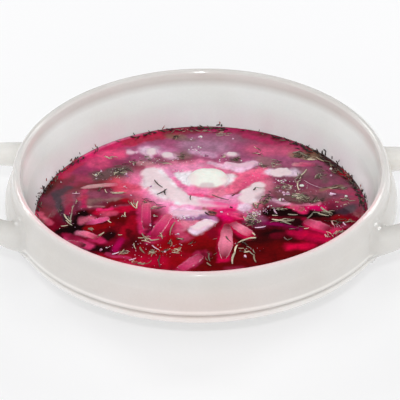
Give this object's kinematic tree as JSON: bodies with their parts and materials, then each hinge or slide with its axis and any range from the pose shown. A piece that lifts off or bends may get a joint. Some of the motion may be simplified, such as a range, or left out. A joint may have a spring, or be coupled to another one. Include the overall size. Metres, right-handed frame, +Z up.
{
  "type": "bowl of cold beet soup",
  "caption": "Round white dish with two loop handles, filled with cold beet soup: a dollop of sour cream, melted cream, vegetable strips and chopped dill on top",
  "frame": {"origin": "centre of the dish's foot, on the surface it stands on", "axes": "+X from one loop handle to the other, +Y across the dish, +Z up out of its mouth"},
  "size_m": [0.2442, 0.1796, 0.044],
  "materials": {
    "white_glaze": "glossy opal white ceramic or glass",
    "beet_broth": "wet, clear dark crimson broth",
    "thick_cream": "thick sour cream, softly shining",
    "melted_cream": "cream thinned by the broth, pale pink, wet",
    "stained_strip": "vegetable stained by beet, wet"
  },
  "bodies": {
    "root": {"bowl": "white_glaze", "loop_right": "white_glaze", "loop_left": "white_glaze", "soup": "beet_broth", "sour_cream": "thick_cream", "cream_sweep": "melted_cream", "cream_lobe": "melted_cream", "cream_crescent": "melted_cream", "cream_pool": "melted_cream", "cream_froth": "melted_cream", "cream_chip": "melted_cream", "curd_left": "melted_cream", "curd_tall": "melted_cream", "curd_round": "melted_cream", "curd_right": "melted_cream", "strip_pale": "stained_strip", "strip_left": "stained_strip", "strip_near_left": "stained_strip", "strip_edge_left": "stained_strip", "strip_upright": "stained_strip", "strip_leaning": "stained_strip", "strip_leaf": "stained_strip", "strip_chunk": "stained_strip", "strip_front": "stained_strip", "strip_middle": "stained_strip", "strip_right": "stained_strip", "strip_short": "stained_strip", "strip_back": "stained_strip"}
  },
  "joints": []
}
